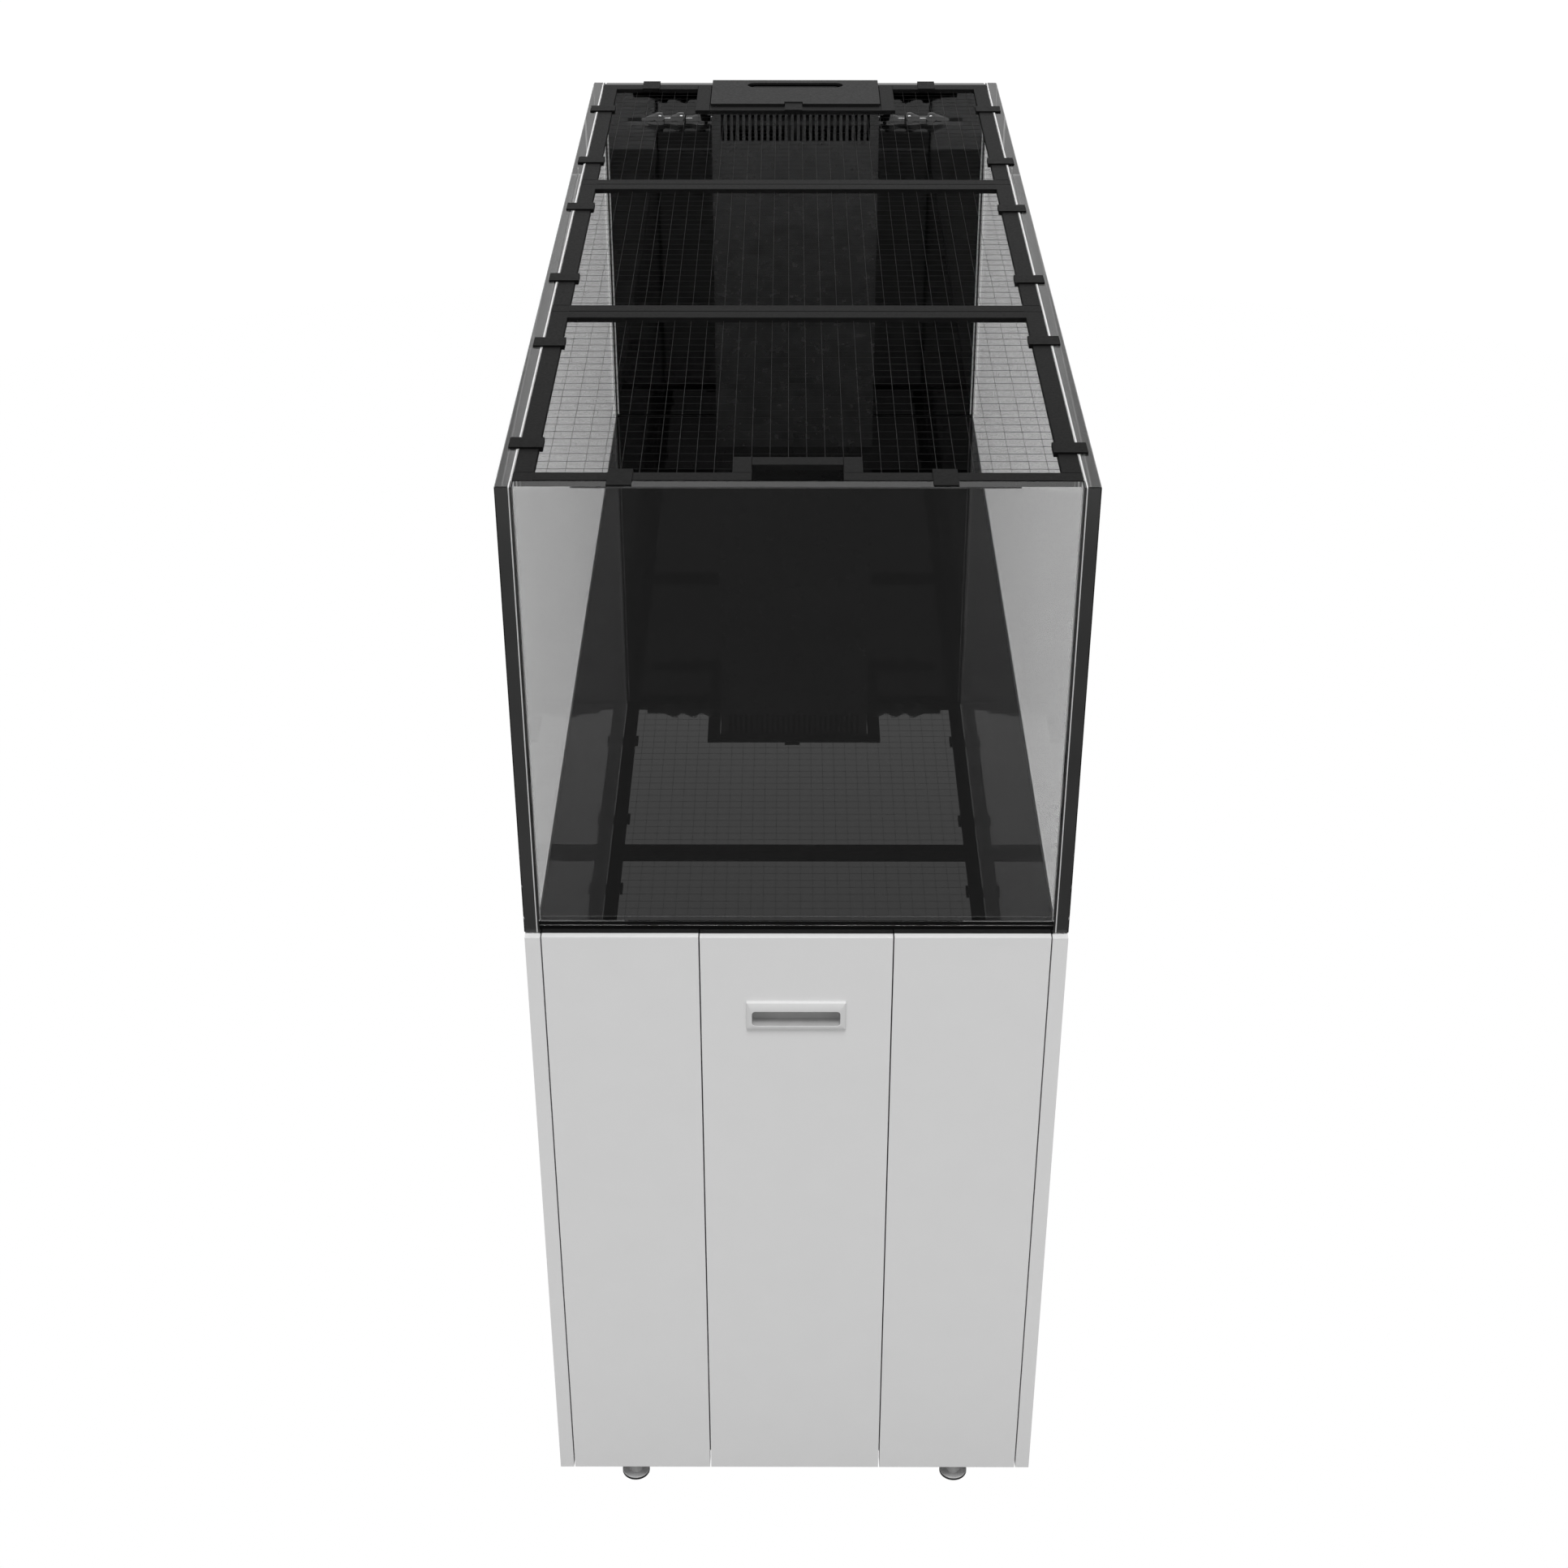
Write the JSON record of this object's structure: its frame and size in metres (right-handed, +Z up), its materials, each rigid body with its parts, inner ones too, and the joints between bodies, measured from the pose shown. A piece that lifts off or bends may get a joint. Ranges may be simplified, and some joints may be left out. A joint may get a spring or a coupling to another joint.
{
  "type": "aquarium on cabinet stand",
  "caption": "Peninsula aquarium: glass tank with net lids and a rear overflow box, on a white cabinet with side doors, a front pull-out, a sump inside and levelling feet.",
  "frame": {"origin": "centre of the footprint on the floor", "axes": "+Z up, -Y towards the front end with the pull-out, +X to the right seen from the front"},
  "size_m": [0.605, 1.457, 1.4035],
  "materials": {
    "clear_glass": "polished",
    "black_glass": "black, polished",
    "black_panel": "gloss",
    "silicone": "satin",
    "black_acrylic": "gloss",
    "cover_plastic": "matte",
    "pipe_plastic": "satin",
    "nozzle_plastic": "gloss",
    "lid_metal": "satin",
    "lid_net": "clear polymer net",
    "clip_plastic": "matte",
    "white_board": "white lacquer",
    "handle_plastic": "satin",
    "grommet_plastic": "matte",
    "steel": "zinc plated",
    "foot_plastic": "matte",
    "sump_glass": "polished",
    "cup_plastic": "frosted",
    "pump_plastic": "satin",
    "lever_plastic": "satin"
  },
  "bodies": {
    "tank_and_cabinet": {"tank_front_glass": "clear_glass", "tank_left_glass": "clear_glass", "tank_right_glass": "clear_glass", "tank_back_glass": "black_glass", "tank_bottom_panel": "black_panel", "silicone_seams": "silicone", "overflow_comb": "black_acrylic", "overflow_side_walls": "black_acrylic", "bulkheads": "pipe_plastic", "drain_pipes": "pipe_plastic", "return_pipes": "pipe_plastic", "nozzle_wall_fittings": "nozzle_plastic", "bottom_board": "white_board", "top_board": "white_board", "front_left_panel": "white_board", "front_right_panel": "white_board", "back_panel": "white_board", "inner_boards": "white_board", "cable_grommets": "grommet_plastic", "foot_sockets": "grommet_plastic", "hinge_plates": "steel", "outer_slide_rails": "steel", "sump_tank": "sump_glass", "return_pump": "pump_plastic"},
    "front_lid": {"front_lid_frame": "lid_metal", "front_lid_net": "lid_net", "front_lid_clips": "clip_plastic"},
    "middle_lid": {"middle_lid_frame": "lid_metal", "middle_lid_net": "lid_net", "middle_lid_clips": "clip_plastic"},
    "rear_lid": {"rear_lid_frame": "lid_metal", "rear_lid_net": "lid_net", "rear_lid_clips": "clip_plastic"},
    "cover": {"overflow_cover": "cover_plastic"},
    "pull_out": {"centre_panel": "white_board", "centre_panel_handle": "handle_plastic", "control_board": "white_board", "inner_slide_rails": "steel"},
    "cup": {"filter_cup": "cup_plastic"},
    "valve_lever": {"drain_valve_lever": "lever_plastic"},
    "left_front_leaf": {"left_front_door": "white_board", "left_front_door_fittings": "handle_plastic"},
    "left_back_leaf": {"left_back_door": "white_board", "left_back_door_fittings": "handle_plastic"},
    "left_link_1": {"left_nozzle_link_1": "nozzle_plastic"},
    "left_link_2": {"left_nozzle_link_2": "nozzle_plastic"},
    "left_spout": {"left_nozzle_spout": "nozzle_plastic"},
    "right_front_leaf": {"right_front_door": "white_board", "right_front_door_fittings": "handle_plastic"},
    "right_back_leaf": {"right_back_door": "white_board", "right_back_door_fittings": "handle_plastic"},
    "right_link_1": {"right_nozzle_link_1": "nozzle_plastic"},
    "right_link_2": {"right_nozzle_link_2": "nozzle_plastic"},
    "right_spout": {"right_nozzle_spout": "nozzle_plastic"},
    "levelling_foot_1": {"foot_1": "foot_plastic"},
    "levelling_foot_2": {"foot_2": "foot_plastic"},
    "levelling_foot_3": {"foot_3": "foot_plastic"},
    "levelling_foot_4": {"foot_4": "foot_plastic"},
    "levelling_foot_5": {"foot_5": "foot_plastic"},
    "levelling_foot_6": {"foot_6": "foot_plastic"}
  },
  "joints": [
    {"name": "front_lid_lift", "type": "slide", "parent": "tank_and_cabinet", "child": "front_lid", "axis": [0, 0, 1], "range_m": [0, 0.3]},
    {"name": "middle_lid_lift", "type": "slide", "parent": "tank_and_cabinet", "child": "middle_lid", "axis": [0, 0, 1], "range_m": [0, 0.3]},
    {"name": "rear_lid_lift", "type": "slide", "parent": "tank_and_cabinet", "child": "rear_lid", "axis": [0, 0, 1], "range_m": [0, 0.3]},
    {"name": "cover_lift", "type": "slide", "parent": "tank_and_cabinet", "child": "cover", "axis": [0, 0, 1], "range_m": [0, 0.15]},
    {"name": "cup_lift", "type": "slide", "parent": "tank_and_cabinet", "child": "cup", "axis": [0, 0, 1], "range_m": [0, 0.15]},
    {"name": "pull_out_slide", "type": "slide", "parent": "tank_and_cabinet", "child": "pull_out", "axis": [0, -1, 0], "range_m": [0, 0.42]},
    {"name": "left_front_door_hinge", "type": "hinge", "parent": "tank_and_cabinet", "child": "left_front_leaf", "pos_m": [-0.299, -0.725, 0.4485], "axis": [0, 0, 1], "range_deg": [0, 95]},
    {"name": "left_back_door_hinge", "type": "hinge", "parent": "tank_and_cabinet", "child": "left_back_leaf", "pos_m": [-0.299, 0.725, 0.4485], "axis": [0, 0, -1], "range_deg": [0, 95]},
    {"name": "left_nozzle_swing", "type": "hinge", "parent": "tank_and_cabinet", "child": "left_link_1", "pos_m": [-0.136, 0.628, 1.367], "axis": [0, 0, 1], "range_deg": [-15, 15]},
    {"name": "left_nozzle_dip", "type": "hinge", "parent": "left_link_1", "child": "left_link_2", "pos_m": [-0.1675, 0.628, 1.367], "axis": [0, -1, 0], "range_deg": [-5, 15]},
    {"name": "left_nozzle_twist", "type": "hinge", "parent": "left_link_2", "child": "left_spout", "pos_m": [-0.199, 0.628, 1.367], "axis": [1, 0, 0], "range_deg": [-45, 45]},
    {"name": "right_front_door_hinge", "type": "hinge", "parent": "tank_and_cabinet", "child": "right_front_leaf", "pos_m": [0.299, -0.725, 0.4485], "axis": [0, 0, -1], "range_deg": [0, 95]},
    {"name": "right_back_door_hinge", "type": "hinge", "parent": "tank_and_cabinet", "child": "right_back_leaf", "pos_m": [0.299, 0.725, 0.4485], "axis": [0, 0, 1], "range_deg": [0, 95]},
    {"name": "right_nozzle_swing", "type": "hinge", "parent": "tank_and_cabinet", "child": "right_link_1", "pos_m": [0.136, 0.628, 1.367], "axis": [0, 0, 1], "range_deg": [-15, 15]},
    {"name": "right_nozzle_dip", "type": "hinge", "parent": "right_link_1", "child": "right_link_2", "pos_m": [0.1675, 0.628, 1.367], "axis": [0, 1, 0], "range_deg": [-5, 15]},
    {"name": "right_nozzle_twist", "type": "hinge", "parent": "right_link_2", "child": "right_spout", "pos_m": [0.199, 0.628, 1.367], "axis": [1, 0, 0], "range_deg": [-45, 45]},
    {"name": "drain_valve_turn", "type": "hinge", "parent": "tank_and_cabinet", "child": "valve_lever", "pos_m": [-0.062, 0.619, 0.6], "axis": [0, 1, 0], "range_deg": [0, 90]},
    {"name": "foot_1_turn", "type": "hinge", "parent": "tank_and_cabinet", "child": "levelling_foot_1", "pos_m": [-0.205, -0.6975, 0.02], "axis": [0, 0, 1], "continuous": true},
    {"name": "foot_2_turn", "type": "hinge", "parent": "tank_and_cabinet", "child": "levelling_foot_2", "pos_m": [0.205, -0.6975, 0.02], "axis": [0, 0, 1], "continuous": true},
    {"name": "foot_3_turn", "type": "hinge", "parent": "tank_and_cabinet", "child": "levelling_foot_3", "pos_m": [-0.205, 0, 0.02], "axis": [0, 0, 1], "continuous": true},
    {"name": "foot_4_turn", "type": "hinge", "parent": "tank_and_cabinet", "child": "levelling_foot_4", "pos_m": [0.205, 0, 0.02], "axis": [0, 0, 1], "continuous": true},
    {"name": "foot_5_turn", "type": "hinge", "parent": "tank_and_cabinet", "child": "levelling_foot_5", "pos_m": [-0.205, 0.6975, 0.02], "axis": [0, 0, 1], "continuous": true},
    {"name": "foot_6_turn", "type": "hinge", "parent": "tank_and_cabinet", "child": "levelling_foot_6", "pos_m": [0.205, 0.6975, 0.02], "axis": [0, 0, 1], "continuous": true}
  ]
}
